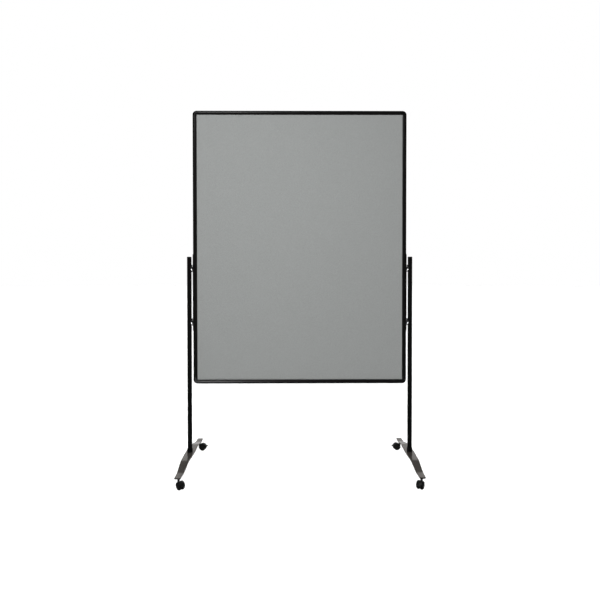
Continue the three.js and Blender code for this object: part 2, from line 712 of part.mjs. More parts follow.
// A cylinder across the castor, centred on the pedal's pivot
function acrossPivot(radius, halfLength) {
  return axialCylinder(radius, -halfLength, halfLength, FIT_ROUND)
    .translate(PEDAL_PIVOT_X, 0, PEDAL_PIVOT_Z);
}

// A side outline in X and Z, extruded across the castor and moved to the pedal's pivot
function pedalPiece(outline, halfLength) {
  return extruded(shapeFrom(outline), 2 * halfLength)
    .rotateX(Math.PI / 2)
    .translate(PEDAL_PIVOT_X, halfLength, PEDAL_PIVOT_Z);
}

// Fenders over both wheels on a central web, with a neck for the pintle and a bead for the pedal
function castorHood() {
  const far = 60; // beyond every side of the castor
  const fenderEdge = (x) => FENDER_EDGE_Z + FENDER_EDGE_SLOPE * x;
  const above = (edgeAt) => toSolid(extruded(
    shapeFrom([[-far, edgeAt(-far)], [far, edgeAt(far)], [far, far], [-far, far]]), 2 * far,
  )
    .rotateX(Math.PI / 2)
    .translate(0, far, 0));
  const shoulder = shoulderPairs(HOOD_RADIUS, HOOD_HALF_WIDTH, HOOD_SHOULDER);
  const drum = toSolid(onAxle(turned([
    [0, -HOOD_HALF_WIDTH],
    ...shoulder.map(([r, z]) => [r, -z]).reverse(),
    ...shoulder,
    [0, HOOD_HALF_WIDTH],
  ], FIT_ROUND)));
  const disc = toSolid(onAxle(uprightCylinder(HOOD_RADIUS, -RIB_HALF, RIB_HALF, FIT_ROUND)));
  const fenders = drum.intersect(above(fenderEdge));
  const web = disc.intersect(above(() => WEB_EDGE_Z));
  const neck = toSolid(uprightCylinder(NECK_RADIUS, PINTLE_BOTTOM - 3, COLLAR_BOTTOM - 0.2, FIT_ROUND));
  const bead = toSolid(acrossPivot(BEAD_RADIUS, BEAD_HALF_LENGTH));
  const wheelEnd = RIB_HALF + WHEEL_PLAY + WHEEL_WIDTH;
  const wheelSpace = (sign) => onAxle(turned([
    [0, RIB_HALF],
    [WHEEL_RADIUS + WHEEL_SPACE, RIB_HALF],
    ...shoulderPairs(WHEEL_RADIUS + WHEEL_SPACE, wheelEnd, WHEEL_SHOULDER),
    [WHEEL_RADIUS + WHEEL_SPACE - WHEEL_SHOULDER.deep, far],
    [0, far],
  ], FIT_ROUND), sign);
  const pedalSlot = [[0, 1.25], [-0.4, 0], [0, -1.25], [7.5, -3.2], [7.5, 2.6]];
  return toGeometry(cut(
    fenders.add(web).add(neck).add(bead),
    wheelSpace(-1),
    wheelSpace(1),
    onAxle(uprightCylinder(boreFor(AXLE_RADIUS), -far, far, FIT_ROUND)),
    uprightCylinder(boreFor(PINTLE_RADIUS), PINTLE_BOTTOM - 0.5, far, FIT_ROUND),
    acrossPivot(boreFor(BARREL_RADIUS), BARREL_HALF_LENGTH + 0.2),
    pedalPiece(pedalSlot, BARREL_HALF_LENGTH + 0.2),
  ));
}

function castorAxle() {
  const half = RIB_HALF + WHEEL_PLAY + AXLE_DEPTH;
  return onAxle(uprightCylinder(AXLE_RADIUS, -half, half, FIT_ROUND));
}

// Solid wheel with a well-rounded outer shoulder and a blind bore; sign picks its side
function castorWheel(sign) {
  const start = RIB_HALF + WHEEL_PLAY;
  const boreEnd = start + AXLE_DEPTH + 0.4;
  const halfFacet = Math.PI / FIT_ROUND;
  const rim = WHEEL_RADIUS / Math.cos(halfFacet); // puts the middle of a facet on the floor
  const wheel = turned([
    [0, boreEnd],
    [boreFor(AXLE_RADIUS), boreEnd],
    [boreFor(AXLE_RADIUS), start],
    [rim - 1.2, start],
    [rim, start + 1.2],
    ...shoulderPairs(rim, start + WHEEL_WIDTH, WHEEL_SHOULDER),
    [WHEEL_RADIUS - WHEEL_SHOULDER.deep - 1, start + WHEEL_WIDTH + 0.6],
    [0, start + WHEEL_WIDTH + 1.2],
  ], FIT_ROUND);
  return onAxle(wheel.rotateZ(halfFacet), sign);
}

// Brake pedal: a barrel snapped into the hood's bead, with a foot tab
function castorPedal() {
  const tab = [[0, -0.9], [6.5, 0], [7.8, 1.4], [7, 2.4], [5.6, 1.9], [0, 0.9]];
  return toGeometry(join(
    pedalPiece(tab, BARREL_HALF_LENGTH - 0.2),
    acrossPivot(BARREL_RADIUS, BARREL_HALF_LENGTH),
  ));
}

function castorGroup({ name, side, end, swivel }) {
  const castor = new THREE.Group();
  castor.add(mesh(`castor_hood_${name}`, castorHood(), castorPlastic()));
  castor.add(mesh(`castor_axle_${name}`, castorAxle(), polishedSteel()));
  castor.add(mesh(`castor_wheel_${name}_a`, castorWheel(-1), castorPlastic()));
  castor.add(mesh(`castor_wheel_${name}_b`, castorWheel(1), castorPlastic()));
  castor.add(mesh(`castor_pedal_${name}`, castorPedal(), castorPlastic()));
  castor.add(mesh(`castor_stem_${name}`, castorStem(), blackSteel()));
  castor.position.set(side * POST_X, end * CASTOR_Y, 0);
  castor.rotation.z = THREE.MathUtils.degToRad(swivel);
  return castor;
}

// ---------------------------------------------------------------- assembly

const wall = new THREE.Group();
wall.name = 'partition_wall';
wall.add(boardGroup());

const hangerLeft = hangerGroup('left');
hangerLeft.rotation.z = Math.PI;
wall.add(hangerLeft, hangerGroup('right'));

const standLeft = standGroup('left');
standLeft.rotation.z = Math.PI;
standLeft.position.x = -POST_X;
const standRight = standGroup('right');
standRight.position.x = POST_X;
wall.add(standLeft, standRight);

CASTORS.forEach((castor) => wall.add(castorGroup(castor)));

export default wall;
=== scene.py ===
"""A mobile pinboard wall in a white studio: felt board, black frame, two posts, arched feet, castors.

Metres, +Z up, front towards -Y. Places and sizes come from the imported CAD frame.
"""

import json
import math

import bmesh
import bpy
from mathutils import Matrix, Vector, noise

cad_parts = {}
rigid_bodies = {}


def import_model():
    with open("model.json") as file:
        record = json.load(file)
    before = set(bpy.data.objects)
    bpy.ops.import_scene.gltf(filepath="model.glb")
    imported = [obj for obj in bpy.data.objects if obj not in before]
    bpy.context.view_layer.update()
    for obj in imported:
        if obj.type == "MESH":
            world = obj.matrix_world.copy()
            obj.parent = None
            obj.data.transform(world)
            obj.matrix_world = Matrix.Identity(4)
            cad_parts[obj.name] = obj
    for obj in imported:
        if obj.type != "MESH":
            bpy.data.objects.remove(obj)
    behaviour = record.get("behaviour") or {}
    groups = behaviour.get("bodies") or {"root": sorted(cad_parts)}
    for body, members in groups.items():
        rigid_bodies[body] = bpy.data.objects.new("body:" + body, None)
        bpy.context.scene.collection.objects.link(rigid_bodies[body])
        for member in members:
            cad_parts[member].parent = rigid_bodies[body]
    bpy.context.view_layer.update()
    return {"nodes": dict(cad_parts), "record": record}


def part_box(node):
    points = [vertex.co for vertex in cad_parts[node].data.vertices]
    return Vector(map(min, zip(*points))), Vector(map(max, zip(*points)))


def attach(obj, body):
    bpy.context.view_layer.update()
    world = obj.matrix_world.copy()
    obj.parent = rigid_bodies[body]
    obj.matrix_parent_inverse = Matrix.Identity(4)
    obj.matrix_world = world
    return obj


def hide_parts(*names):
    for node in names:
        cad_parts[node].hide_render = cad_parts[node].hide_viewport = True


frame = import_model()
RECORD = frame["record"]
BODY_OF = {node: body for body, nodes in RECORD["behaviour"]["bodies"].items() for node in nodes}
SLOT_OF = {part["node"]: part["material_slot"] for part in RECORD["subparts"]}
JOINTS = {joint["name"]: joint for joint in RECORD["behaviour"]["joints"]}

MM = 0.001
SIDES = ("left", "right")
LEVELS = ("lower", "upper")
CASTORS = ("front_left", "rear_left", "front_right", "rear_right")

# Segments around a turned piece.
SEGMENTS_SCREW = 40
SEGMENTS_BOLT = 48
SEGMENTS_ROUND = 64
SEGMENTS_WHEEL = 72


# ---------------------------------------------------------------- materials
# Noise scales count features to a metre.

NOISE_LOW = 0.3  # most values of a noise texture lie between these two
NOISE_HIGH = 0.7

# The Mix node has one set of sockets for each kind of data; these are the colour ones.
COLOUR_A = 6
COLOUR_B = 7
COLOUR_RESULT = 2


class Nodes:
    """A small helper that builds one material's node tree."""

    def __init__(self, name):
        self.material = bpy.data.materials.new(name)
        self.material.use_nodes = True
        self.tree = self.material.node_tree
        self.shader = self.tree.nodes["Principled BSDF"]
        self.coordinates = self.add("ShaderNodeTexCoord").outputs["Object"]

    def add(self, kind, **values):
        node = self.tree.nodes.new(kind)
        for name, value in values.items():
            if name in node.inputs:
                node.inputs[name].default_value = value
            else:
                setattr(node, name, value)
        return node

    def link(self, source, target):
        self.tree.links.new(source, target)

    def stretched(self, scale):
        """Object coordinates scaled differently along each axis."""
        mapping = self.add("ShaderNodeMapping", Scale=scale)
        self.link(self.coordinates, mapping.inputs["Vector"])
        return mapping.outputs["Vector"]

    def noise(self, scale, detail, roughness, distortion=0.0, vector=None):
        node = self.add("ShaderNodeTexNoise", Scale=scale, Detail=detail, Roughness=roughness,
                        Distortion=distortion)
        self.link(vector or self.coordinates, node.inputs["Vector"])
        return node.outputs["Fac"]

    def ramp(self, factor, stops):
        node = self.add("ShaderNodeValToRGB")
        elements = node.color_ramp.elements
        while len(elements) < len(stops):
            elements.new(0.5)
        for element, (position, colour) in zip(elements, stops):
            element.position = position
            element.color = (*colour, 1.0)
        self.link(factor, node.inputs["Fac"])
        return node.outputs["Color"]

    def spread(self, factor, low, high):
        """The noise's usual range mapped to low..high."""
        limits = {"From Min": NOISE_LOW, "From Max": NOISE_HIGH, "To Min": low, "To Max": high}
        node = self.add("ShaderNodeMapRange", **limits)
        self.link(factor, node.inputs["Value"])
        return node.outputs["Result"]

    def two_tone(self, factor, dark, light):
        """The noise's usual range as a change from the dark colour to the light one."""
        return self.ramp(factor, ((NOISE_LOW, dark), (NOISE_HIGH, light)))

    def multiplied(self, factor, first, second):
        """The first colour multiplied by the second, as strongly as the factor says."""
        node = self.add("ShaderNodeMix", data_type="RGBA", blend_type="MULTIPLY", Factor=factor)
        self.link(first, node.inputs[COLOUR_A])
        self.link(second, node.inputs[COLOUR_B])
        return node.outputs[COLOUR_RESULT]

    def bump(self, heights):
        """Chains bumps from (height socket, strength, depth in metres) rows into the normal."""
        normal = None
        for height, strength, depth in heights:
            node = self.add("ShaderNodeBump", Strength=strength, Distance=depth)
            self.link(height, node.inputs["Height"])
            if normal:
                self.link(normal, node.inputs["Normal"])
            normal = node.outputs["Normal"]
        self.link(normal, self.shader.inputs["Normal"])

    def set(self, **values):
        """Constant values on the shader's own sockets; Coat_Weight stands for Coat Weight."""
        for name, value in values.items():
            self.shader.inputs[name.replace("_", " ")].default_value = value


def felt_material():
    """Needled grey felt: matted fibres in many directions, with slightly lighter and darker flecks."""
    m = Nodes("needled_felt")
    cloud = m.noise(scale=14.0, detail=3.0, roughness=0.5)
    fibres_up = m.noise(scale=1.0, detail=3.0, roughness=0.6, distortion=0.4,
                        vector=m.stretched((900.0, 900.0, 260.0)))
    fibres_across = m.noise(scale=1.0, detail=3.0, roughness=0.6, distortion=0.4,
                            vector=m.stretched((240.0, 900.0, 880.0)))
    flecks = m.noise(scale=700.0, detail=3.0, roughness=0.6)
    base = m.two_tone(cloud, (0.212, 0.2195, 0.2155), (0.215, 0.2225, 0.2185))
    fibre_tone = m.ramp(fibres_up, ((0.32, (0.80, 0.80, 0.80)), (0.68, (1.12, 1.12, 1.12))))
    cross_tone = m.ramp(fibres_across, ((0.32, (0.84, 0.84, 0.84)), (0.68, (1.1, 1.1, 1.1))))
    fleck_tone = m.ramp(flecks, ((0.3, (0.88, 0.88, 0.89)), (0.72, (1.08, 1.08, 1.07))))
    colour = m.multiplied(0.8, base, fibre_tone)
    colour = m.multiplied(0.8, colour, cross_tone)
    colour = m.multiplied(0.7, colour, fleck_tone)
    m.link(colour, m.shader.inputs["Base Color"])
    m.link(m.spread(flecks, 0.9, 1.0), m.shader.inputs["Roughness"])
    m.set(Specular_IOR_Level=0.15, Sheen_Weight=0.12, Sheen_Roughness=0.6)
    m.bump([(fibres_up, 0.55, 0.6 * MM), (fibres_across, 0.5, 0.6 * MM), (flecks, 0.4, 0.3 * MM)])
    return m.material


def coated_metal(name, dark, light, roughness, specular):
    """Fine powder coat: a faint orange-peel surface with small differences in gloss."""
    m = Nodes(name)
    peel = m.noise(scale=520.0, detail=3.0, roughness=0.6)
    patches = m.noise(scale=9.0, detail=4.0, roughness=0.6)
    m.link(m.two_tone(patches, dark, light), m.shader.inputs["Base Color"])
    m.link(m.spread(patches, roughness - 0.05, roughness + 0.06), m.shader.inputs["Roughness"])
    m.set(Metallic=0.0, Specular_IOR_Level=specular)
    m.bump([(peel, 0.18, 0.2 * MM)])
    return m.material


def brushed_frame():
    """Black anodised extrusion: fine drawing lines that run along each length."""
    m = Nodes("anodised_black")
    lines_up = m.noise(scale=1.0, detail=3.0, roughness=0.6,
                       vector=m.stretched((1500.0, 1500.0, 3.0)))
    lines_across = m.noise(scale=1.0, detail=3.0, roughness=0.6,
                           vector=m.stretched((3.0, 1500.0, 1500.0)))
    patches = m.noise(scale=7.0, detail=4.0, roughness=0.6)
    base = m.two_tone(patches, (0.003, 0.0028, 0.0027), (0.0042, 0.004, 0.0039))
    m.link(base, m.shader.inputs["Base Color"])
    m.link(m.spread(patches, 0.26, 0.33), m.shader.inputs["Roughness"])
    m.set(Metallic=0.0, Specular_IOR_Level=0.13)
    m.bump([(lines_up, 0.06, 0.1 * MM), (lines_across, 0.06, 0.1 * MM)])
    return m.material


def moulded_plastic(name, tone, roughness, specular):
    """Black moulded plastic with a fine spark-eroded grain."""
    m = Nodes(name)
    grain = m.noise(scale=1400.0, detail=2.0, roughness=0.5)
    patches = m.noise(scale=30.0, detail=3.0, roughness=0.6)
    dark = (tone * 0.8, tone * 0.8, tone * 0.82)
    light = (tone * 1.25, tone * 1.25, tone * 1.25)
    m.link(m.two_tone(patches, dark, light), m.shader.inputs["Base Color"])
    m.link(m.spread(grain, roughness - 0.06, roughness + 0.08), m.shader.inputs["Roughness"])
    m.set(Specular_IOR_Level=specular)
    m.bump([(grain, 0.3, 0.1 * MM)])
    return m.material


def foot_paint():
    """Glossy warm grey metallic paint: fine flakes under a thin clear coat."""
    m = Nodes("metallic_grey_paint")
    flakes = m.add("ShaderNodeTexVoronoi", Scale=2600.0)
    m.link(m.coordinates, flakes.inputs["Vector"])
    clouds = m.noise(scale=12.0, detail=4.0, roughness=0.55)
    waves = m.noise(scale=90.0, detail=2.0, roughness=0.5)
    base = m.two_tone(clouds, (0.150, 0.134, 0.122), (0.180, 0.162, 0.148))
    sparkle = m.ramp(flakes.outputs["Color"], ((0.0, (0.86, 0.86, 0.86)), (1.0, (1.14, 1.14, 1.14))))
    m.link(m.multiplied(1.0, base, sparkle), m.shader.inputs["Base Color"])
    m.link(m.spread(clouds, 0.2, 0.27), m.shader.inputs["Roughness"])
    m.set(Metallic=0.85, Coat_Weight=0.35, Coat_Roughness=0.06)
    m.bump([(waves, 0.03, 0.4 * MM)])
    return m.material


def polished_metal():
    """Plated steel with a faint grain and small differences in polish."""
    m = Nodes("polished_steel")
    patches = m.noise(scale=60.0, detail=5.0, roughness=0.65)
    grain = m.noise(scale=900.0, detail=2.0, roughness=0.5)
    tone = 0.86
    dull = (tone * 0.93, tone * 0.94, tone * 0.95)
    m.link(m.two_tone(patches, dull, (tone, tone, tone)), m.shader.inputs["Base Color"])
    m.link(m.spread(patches, 0.05, 0.1), m.shader.inputs["Roughness"])
    m.set(Metallic=1.0)
    m.bump([(grain, 0.04, 0.1 * MM)])
    return m.material


def fibre_board():
    """Pressed brown fibre panel."""
    m = Nodes("fibre_board")
    fibres = m.noise(scale=1.0, detail=5.0, roughness=0.65, distortion=1.0,
                     vector=m.stretched((300.0, 300.0, 90.0)))
    m.link(m.two_tone(fibres, (0.33, 0.22, 0.12), (0.5, 0.37, 0.22)), m.shader.inputs["Base Color"])
    m.set(Roughness=0.92)
    m.bump([(fibres, 0.4, 0.4 * MM)])
    return m.material


MATERIALS = {
    "black_frame": brushed_frame(),
    "black_post": coated_metal("post_coat", dark=(0.0027, 0.0026, 0.0026),
                               light=(0.0036, 0.0034, 0.0034), roughness=0.34, specular=0.04),
    "black_plastic": moulded_plastic("moulded_black", tone=0.0028, roughness=0.34, specular=0.1),
    "castor_plastic": moulded_plastic("castor_black", tone=0.0045, roughness=0.32, specular=0.24),
    "castor_wheel": moulded_plastic("wheel_black", tone=0.006, roughness=0.36, specular=0.24),
    "grey_felt": felt_material(),
    "board_core": fibre_board(),
    "foot_metal": foot_paint(),
    "polished_steel": polished_metal(),
    "black_steel": coated_metal("black_oxide", dark=(0.004, 0.004, 0.004),
                                light=(0.008, 0.008, 0.008), roughness=0.36, specular=0.2),
}


# ---------------------------------------------------------------- mesh helpers

SAME_POINT = 0.001 * MM
FLAT_DEGREES = 1  # faces that turn by less than this are merged
SHARP_DEGREES = 28  # edges that turn by more than this are rounded


def arc(centre, radii, start, end, steps):
    """Points of an arc or elliptical arc, angles in degrees, both ends included."""
    points = []
    for i in range(steps + 1):
        angle = math.radians(start + (end - start) * i / steps)
        points.append((centre[0] + radii[0] * math.cos(angle), centre[1] + radii[1] * math.sin(angle)))
    return points


def sharp_edges(bm, degrees):
    """The edges whose two faces turn by more than the angle."""
    limit = math.radians(degrees)
    return [e for e in bm.edges if len(e.link_faces) == 2 and e.calc_face_angle(0.0) > limit]


def round_edges(bm, edges, width):
    """Bevels the edges with two faces each."""
    bmesh.ops.bevel(bm, geom=edges, offset=width, offset_type="OFFSET", segments=2, profile=0.5,
                    affect="EDGES", clamp_overlap=True)


def finish_piece(name, bm, node, smooth_degrees=32):
    """Makes the piece that stands for one CAD node, with the material of the node's slot, on the node's
    body.

    Edges that turn by less than smooth_degrees are shaded smooth.
    """
    bmesh.ops.recalc_face_normals(bm, faces=bm.faces)
    mesh = bpy.data.meshes.new(name)
    bm.to_mesh(mesh)
    bm.free()
    mesh.shade_smooth()
    mesh.set_sharp_from_angle(angle=math.radians(smooth_degrees))
    piece = bpy.data.objects.new(name, mesh)
    bpy.context.scene.collection.objects.link(piece)
    mesh.materials.append(MATERIALS[SLOT_OF[node]])
    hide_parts(node)
    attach(piece, BODY_OF[node])
    return piece


def skin_between(bm, lower, upper):
    """Faces between two closed rings of vertices; a ring may be one repeated vertex on the axis."""
    for i in range(len(lower)):
        j = (i + 1) % len(lower)
        corners = list(dict.fromkeys((lower[i], lower[j], upper[j], upper[i])))
        if len(corners) > 2:
            bm.faces.new(corners)


def loft(rings):
    """A closed solid through rings of points that run in the same order."""
    bm = bmesh.new()
    rows = [[bm.verts.new(point) for point in ring] for ring in rings]
    for lower, upper in zip(rows, rows[1:]):
        skin_between(bm, lower, upper)
    bm.faces.new(list(reversed(rows[0])))
    bm.faces.new(rows[-1])
    return bm


def turn(pairs, place, segments=SEGMENTS_ROUND):
    """A piece turned about Z from (radius, height) pairs, then put in place.

    A profile that stays off the axis is closed from its last pair to its first; one that
    touches the axis is not.
    """
    bm = bmesh.new()
    angles = [2 * math.pi * k / segments for k in range(segments)]
    rows = []
    for radius, height in pairs:
        if radius == 0:
            rows.append([bm.verts.new((0, 0, height))] * segments)
        else:
            rows.append([bm.verts.new((radius * math.cos(angle), radius * math.sin(angle), height))
                         for angle in angles])
    for lower, upper in zip(rows, rows[1:]):
        skin_between(bm, lower, upper)
    if all(radius > 0 for radius, _ in pairs):
        skin_between(bm, rows[-1], rows[0])
    bm.transform(place)
    return bm


def refined(node, width):
    """The CAD node's own shape with flat faces merged and every sharp edge rounded to the width."""
    bm = bmesh.new()
    bm.from_mesh(frame["nodes"][node].data)
    bm.transform(frame["nodes"][node].matrix_world)
    bmesh.ops.remove_doubles(bm, verts=bm.verts, dist=SAME_POINT)
    bmesh.ops.dissolve_limit(bm, angle_limit=math.radians(FLAT_DEGREES), verts=bm.verts,
                             edges=bm.edges)
    round_edges(bm, sharp_edges(bm, SHARP_DEGREES), width)
    finish_piece(f"{node}_visual", bm, node)


def middle(node):
    low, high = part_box(node)
    return (Vector(low) + Vector(high)) / 2


# ---------------------------------------------------------------- board

GROOVE_HALF = 6.3 * MM  # half the width of the groove that holds the panel
GROOVE_DEPTH = 7 * MM
CORNER_GROOVE_DEPTH = 9.5 * MM
CHANNEL_HALF = 6.5 * MM  # half the width of the channel on the rails' outer side
CHANNEL_DEPTH = 6.5 * MM
NOSE_RISE = 4 * MM  # how far the rounded front and back stand out
NOSE_STEPS = 24
MOUTH_EDGE = 0.35 * MM  # chamfer at the mouth of the groove and of the channel
CORNER_INNER_RADIUS = 0.5 * MM
CORNER_STEPS = 20
CORNER_END_EDGE = 0.4 * MM
CORNER_END_DEGREES = 75  # the outline of each end turns by more than this
CORNER_GAP = 0.3 * MM  # between a corner piece and the rail it meets
FRAME_SMOOTH_DEGREES = 40


def frame_profile(face, half_depth, groove_depth, with_channel):
    """Half-round noses at front and back, a panel groove inside and, on rails, a channel outside."""
    nose_base = half_depth - NOSE_RISE
    edge = MOUTH_EDGE
    front = arc((face / 2, nose_base), (face / 2, NOSE_RISE), 0, 180, NOSE_STEPS)
    back = arc((face / 2, -nose_base), (face / 2, NOSE_RISE), 180, 360, NOSE_STEPS)
    groove = [(0, GROOVE_HALF + edge), (edge, GROOVE_HALF), (groove_depth, GROOVE_HALF),
              (groove_depth, -GROOVE_HALF), (edge, -GROOVE_HALF), (0, -GROOVE_HALF - edge)]
    channel = [(face, -CHANNEL_HALF - edge), (face - edge, -CHANNEL_HALF),
               (face - CHANNEL_DEPTH, -CHANNEL_HALF), (face - CHANNEL_DEPTH, CHANNEL_HALF),
               (face - edge, CHANNEL_HALF), (face, CHANNEL_HALF + edge)]
    return front + groove + back + (channel if with_channel else [])


def rail(name):
    """One straight length of the extrusion, between its two corner pieces."""
    low, high = (Vector(point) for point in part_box(name))
    upright = high.z - low.z > high.x - low.x
    face = (high.x - low.x) if upright else (high.z - low.z)
    profile = frame_profile(face, high.y, GROOVE_DEPTH, True)
    if upright:
        inner = low.x if name == "rail_right" else high.x
        outward = 1 if name == "rail_right" else -1
        rings = [[(inner + outward * out, depth, z) for out, depth in profile] for z in (low.z, high.z)]
    else:
        inner = low.z if name == "rail_top" else high.z
        outward = 1 if name == "rail_top" else -1
        rings = [[(x, depth, inner + outward * out) for out, depth in profile] for x in (low.x, high.x)]
    finish_piece(f"{name}_extrusion", loft(rings), name, FRAME_SMOOTH_DEGREES)


def corner(name):
    """A rounded corner piece: two short legs and a quarter turn of the same outline."""
    vertical, horizontal = name.split("_")[1:]
    sign_x = 1 if horizontal == "right" else -1
    sign_z = 1 if vertical == "top" else -1
    side_low, side_high = (Vector(point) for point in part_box(f"rail_{horizontal}"))
    level_low, level_high = (Vector(point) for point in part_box(f"rail_{vertical}"))
    face = side_high.x - side_low.x
    outer_x = max(abs(side_low.x), abs(side_high.x))
    outer_z = level_high.z if sign_z > 0 else level_low.z
    side_end = side_high.z if sign_z > 0 else side_low.z
    level_end = level_high.x if sign_x > 0 else level_low.x
    radius = face + CORNER_INNER_RADIUS
    pivot = Vector((sign_x * (outer_x - radius), 0, outer_z - sign_z * radius))
    leg_z = sign_z * (pivot.z - side_end) - CORNER_GAP
    leg_x = sign_x * (pivot.x - level_end) - CORNER_GAP
    profile = frame_profile(face, side_high.y, CORNER_GROOVE_DEPTH, False)

    def ring(turn_angle, back_x, back_z):
        return [
            (pivot.x + sign_x * ((CORNER_INNER_RADIUS + out) * math.cos(turn_angle) - back_x), depth,
             pivot.z + sign_z * ((CORNER_INNER_RADIUS + out) * math.sin(turn_angle) - back_z))
            for out, depth in profile
        ]

    rings = [ring(0, 0, leg_z)]
    rings += [ring(math.pi / 2 * i / CORNER_STEPS, 0, 0) for i in range(CORNER_STEPS + 1)]
    rings.append(ring(math.pi / 2, leg_x, 0))
    bm = loft(rings)
    around_ends = [e for e in sharp_edges(bm, CORNER_END_DEGREES)
                   if any(len(f.verts) > 4 for f in e.link_faces)]
    round_edges(bm, around_ends, CORNER_END_EDGE)
    finish_piece(f"{name}_piece", bm, name, FRAME_SMOOTH_DEGREES)


FELT_UNDER_LIP = 6.2 * MM  # the groove's lip presses the felt's margin
FELT_SPRUNG = 12 * MM  # this far in, the felt has its full thickness
FELT_PRESSED = 0.5 * MM
FELT_RIPPLE = 0.16 * MM
FELT_RIPPLES_PER_METRE = 9
FELT_GRID = 20 * MM


def felt_lines(length):
    """Grid positions across a felt sheet: close together where it comes out of the groove."""
    near_edge = [0.0, FELT_UNDER_LIP, 7 * MM, 8 * MM, 9.5 * MM, FELT_SPRUNG, 16 * MM]
    inner = length - 2 * near_edge[-1]
    count = round(inner / FELT_GRID)
    middle_lines = [near_edge[-1] + inner * i / count for i in range(1, count)]
    return near_edge + middle_lines + [length - d for d in reversed(near_edge)]


def felt(name):
    """A felt sheet stretched on the core: pressed thin in the groove, springing back beside it."""
    low, high = (Vector(point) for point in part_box(name))
    width, height = high.x - low.x, high.z - low.z
    faces_front = name == "felt_front"
    show_y, glue_y = (low.y, high.y) if faces_front else (high.y, low.y)
    inward = 1 if faces_front else -1
    noise_slice = inward * 3.0  # a different ripple on each face

    def surface(x, z):
        margin = min(x, width - x, z, height - z)
        rise = min(1.0, max(0.0, (margin - FELT_UNDER_LIP) / (FELT_SPRUNG - FELT_UNDER_LIP)))
        spot = Vector((x * FELT_RIPPLES_PER_METRE, noise_slice, z * FELT_RIPPLES_PER_METRE))
        uneven = FELT_RIPPLE * (0.5 + 0.5 * noise.noise(spot))
        return show_y + inward * (FELT_PRESSED * (1 - rise) ** 2 + uneven * rise)

    columns, rows = felt_lines(width), felt_lines(height)
    bm = bmesh.new()
    shown = [[bm.verts.new((low.x + x, surface(x, z), low.z + z)) for x in columns] for z in rows]
    glued = [[bm.verts.new((low.x + x, glue_y, low.z + z)) for x in columns] for z in rows]
    for sheet in (shown, glued):
        for lower, upper in zip(sheet, sheet[1:]):
            for c in range(len(columns) - 1):
                bm.faces.new((lower[c], lower[c + 1], upper[c + 1], upper[c]))

    def rim(sheet):
        right = [row[-1] for row in sheet[1:]]
        left = [row[0] for row in sheet[-2:0:-1]]
        return sheet[0] + right + sheet[-1][-2::-1] + left

    outer, inner = rim(shown), rim(glued)
    for i in range(len(outer)):
        j = (i + 1) % len(outer)
        bm.faces.new((outer[i], outer[j], inner[j], inner[i]))
    piece = finish_piece(f"{name}_sheet", bm, name, smooth_degrees=50)


for side in ("right", "left", "top", "bottom"):
    rail(f"rail_{side}")
for horizontal in SIDES:
    corner(f"corner_top_{horizontal}")
    corner(f"corner_bottom_{horizontal}")
felt("felt_front")
felt("felt_back")
for side in SIDES:
    refined(f"hanger_plate_{side}", 0.35 * MM)


# ---------------------------------------------------------------- hooks and screws

def along_x(node, pointing):
    """Places a turned piece so that its own Z runs along +X or -X through the node's middle."""
    centre = middle(node)
    quarter = Matrix.Rotation(pointing * math.pi / 2, 4, "Y")
    return Matrix.Translation((0, centre.y, centre.z)) @ quarter


def ends_along_x(node, pointing):
    """Where the node starts and ends along its own pointing direction."""
    low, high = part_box(node)
    start = low[0] if pointing > 0 else -high[0]
    return start, start + (high[0] - low[0])


def stud(node, pointing):
    """Mushroom stud: rounded head, plain neck, shoulder, then the shank into the post."""
    tip, end = ends_along_x(node, pointing)
    head, neck, shoulder, shank = 5.75 * MM, 3.4 * MM, 8 * MM, 3 * MM
    crown_edge, thin_edge, shoulder_edge, shank_edge = 0.9 * MM, 0.2 * MM, 0.3 * MM, 0.4 * MM
    under_head = tip + 3 * MM
    shoulder_start = tip + 6.9 * MM
    shoulder_end = tip + 8.6 * MM
    pairs = [(0, tip)]
    pairs += arc((head - crown_edge, tip + crown_edge), (crown_edge, crown_edge), -90, 0, 6)
    pairs += [(head, under_head - thin_edge), (head - thin_edge, under_head), (neck, under_head)]
    pairs += [(neck, shoulder_start), (shoulder - shoulder_edge, shoulder_start),
              (shoulder, shoulder_start + shoulder_edge), (shoulder, shoulder_end - thin_edge),
              (shoulder - thin_edge, shoulder_end)]
    pairs += [(shank, shoulder_end), (shank, end - shank_edge), (shank - shank_edge, end), (0, end)]
    finish_piece(f"{node}_pin", turn(pairs, along_x(node, pointing)), node)


def plate_screw(node, pointing):
    """Pan-head screw with a plain round recess, its head on the plate's outer face."""
    tip, end = ends_along_x(node, pointing)
    head, head_height, shank = 3.6 * MM, 1.5 * MM, 2 * MM
    point, point_length = shank * 0.8, 0.6 * MM
    recess, recess_depth, recess_edge = 1.25 * MM, 0.8 * MM, 0.15 * MM
    head_start = end - head_height
    pairs = [(0, tip), (point, tip), (shank, tip + point_length), (shank, head_start),
             (head, head_start)]
    pairs += arc((head - head_height, head_start), (head_height, head_height), 10, 90, 7)
    pairs += [(recess + recess_edge, end), (recess, end - recess_edge), (recess, end - recess_depth),
              (0, end - recess_depth)]
    screw = turn(pairs, along_x(node, pointing), SEGMENTS_SCREW)
    finish_piece(f"{node}_panhead", screw, node)


for side in SIDES:
    direction = 1 if side == "right" else -1
    for level in LEVELS:
        stud(f"stud_{side}_{level}", direction)
        plate_screw(f"plate_screw_{side}_{level}", direction)
        refined(f"stud_dome_{side}_{level}", 0.25 * MM)


# ---------------------------------------------------------------- stands

def upright_place(node):
    """Places a turned piece on the node's own upright centre line; heights stay as they are."""
    centre = middle(node)
    return Matrix.Translation((centre.x, centre.y, 0))


def upright_span(node):
    """The node's lowest and highest point and its outer radius."""
    low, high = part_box(node)
    return low[2], high[2], (high[1] - low[1]) / 2


